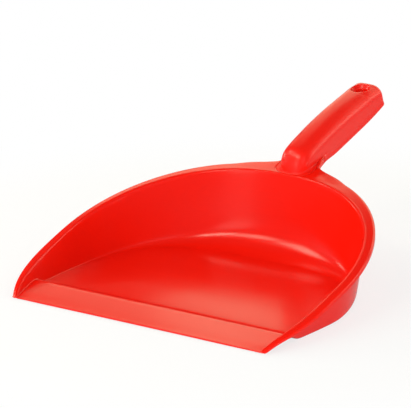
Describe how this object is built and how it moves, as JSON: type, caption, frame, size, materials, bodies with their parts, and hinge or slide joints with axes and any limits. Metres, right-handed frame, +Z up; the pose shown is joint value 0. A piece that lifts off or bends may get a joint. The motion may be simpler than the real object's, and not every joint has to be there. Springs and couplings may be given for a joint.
{
  "type": "dustpan",
  "caption": "Moulded plastic dustpan with a ramped front lip, a scoop with rounded walls, a flanged rim and a hollow handle with an eye for hanging it on a hook.",
  "frame": {"origin": "middle of the footprint, on the ground the pan lies on", "axes": "+Y from the lip to the end of the handle, +X to the right as seen from the lip, +Z up"},
  "size_m": [0.32, 0.4, 0.1412],
  "materials": {
    "red_plastic": "semi-gloss moulded polypropylene"
  },
  "bodies": {
    "root": {"front_lip": "red_plastic", "pan_floor": "red_plastic", "left_wall": "red_plastic", "right_wall": "red_plastic", "back_wall": "red_plastic", "rim_flange": "red_plastic", "rim_skirt": "red_plastic", "handle_grip": "red_plastic", "hanging_eye": "red_plastic", "neck_web_left": "red_plastic", "neck_web_right": "red_plastic"}
  },
  "joints": []
}
